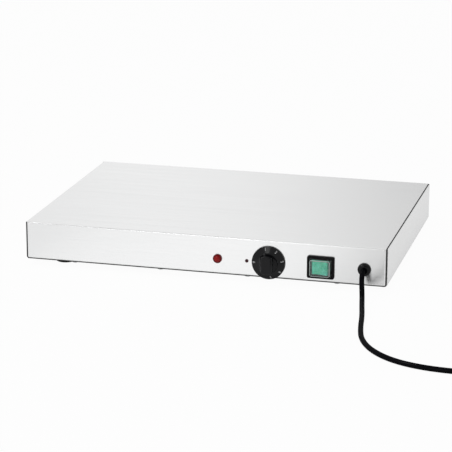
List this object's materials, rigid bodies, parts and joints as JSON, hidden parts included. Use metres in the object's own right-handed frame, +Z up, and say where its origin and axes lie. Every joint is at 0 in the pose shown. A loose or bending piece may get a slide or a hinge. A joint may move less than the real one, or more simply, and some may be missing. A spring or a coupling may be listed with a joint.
{
  "type": "electric warming plate",
  "caption": "Flat rectangular electric warming plate: a stainless box on rubber feet with a dial knob, pilot lamp and rocker switch on its front and a corded plug.",
  "frame": {"origin": "on the table, at the middle of the footprint of the appliance without its free cord; the feet stand at Z = 0", "axes": "+Z up, -Y towards the user (the control panel faces -Y), +X to the user's right along the long side"},
  "size_m": [0.7291, 0.6266, 0.061],
  "materials": {
    "stainless_sheet": "smooth satin stainless sheet, finely ground along its length",
    "zinc_steel": "bright zinc plating",
    "black_rubber": "moulded, matt",
    "seal_black": "extruded, half matt",
    "aluminium_plate": "mill finish",
    "mica_sheet": "pressed mica paper",
    "resistance_alloy": "rolled ribbon",
    "galvanised_sheet": "plain galvanised",
    "ceramic_wool": "pressed fibre",
    "cream_plastic": "moulded thermoset",
    "brass_parts": "plain turned or stamped",
    "copper_tube": "drawn tube",
    "knob_black": "moulded thermoset, half gloss",
    "signal_red": "clear red moulding, gloss",
    "index_red": "stove enamel, dark red",
    "switch_black": "moulded, half gloss",
    "switch_green": "translucent green moulding",
    "clear_cap": "soft clear moulding",
    "relief_black": "moulded nylon",
    "terminal_white": "moulded, matt",
    "wire_brown": "insulation",
    "wire_blue": "insulation",
    "wire_earth": "insulation, green and yellow",
    "cord_black": "round sheath, matt",
    "plug_black": "moulded on, matt",
    "pin_metal": "nickel plated"
  },
  "bodies": {
    "case": {"hood": "stainless_sheet", "base_tray": "stainless_sheet", "edge_seal": "seal_black", "hood_screws": "zinc_steel", "clinch_nuts": "zinc_steel", "foot_front_left": "black_rubber", "foot_front_right": "black_rubber", "foot_back_left": "black_rubber", "foot_back_right": "black_rubber", "foot_screws": "zinc_steel", "foot_nuts": "zinc_steel", "heat_spreader": "aluminium_plate", "mica_upper": "mica_sheet", "heating_ribbon": "resistance_alloy", "mica_lower": "mica_sheet", "clamp_plate": "galvanised_sheet", "insulation_blanket": "ceramic_wool", "heater_studs": "zinc_steel", "insulation_washers": "zinc_steel", "heater_nuts": "zinc_steel", "thermostat_body": "cream_plastic", "thermostat_terminals": "brass_parts", "thermostat_screws": "zinc_steel", "sensor_bulb": "copper_tube", "bulb_clips": "galvanised_sheet", "capillary_tube": "copper_tube", "index_dot": "index_red", "pilot_lamp_lens": "signal_red", "pilot_lamp_body": "terminal_white", "pilot_lamp_terminals": "brass_parts", "pilot_lamp_clip": "galvanised_sheet", "switch_frame": "switch_black", "switch_housing": "switch_black", "switch_terminals": "brass_parts", "splash_cover": "clear_cap", "strain_relief": "relief_black", "cord_inner_end": "cord_black", "terminal_block": "terminal_white", "terminal_screws": "brass_parts", "earth_stud": "zinc_steel", "earth_nut": "brass_parts", "earth_tag": "brass_parts", "thermal_cutout": "aluminium_plate", "wires_brown": "wire_brown", "wires_blue": "wire_blue", "wires_earth": "wire_earth", "mains_cord": "cord_black", "cord_coil": "cord_black", "plug_lead": "cord_black", "cord_tie": "black_rubber", "plug_body": "plug_black", "plug_pins": "pin_metal", "plug_earth_clips": "pin_metal"},
    "knob": {"knob": "knob_black", "thermostat_spindle": "brass_parts"},
    "rocker": {"rocker": "switch_green"}
  },
  "joints": [
    {"name": "knob_turn", "type": "hinge", "parent": "case", "child": "knob", "pos_m": [0.0907, -0.164, 0.0303], "axis": [0, -1, 0], "range_deg": [0, 259]},
    {"name": "rocker_tilt", "type": "hinge", "parent": "case", "child": "rocker", "pos_m": [0.1613, -0.1625, 0.0295], "axis": [0, 0, 1], "range_deg": [0, 16]}
  ]
}
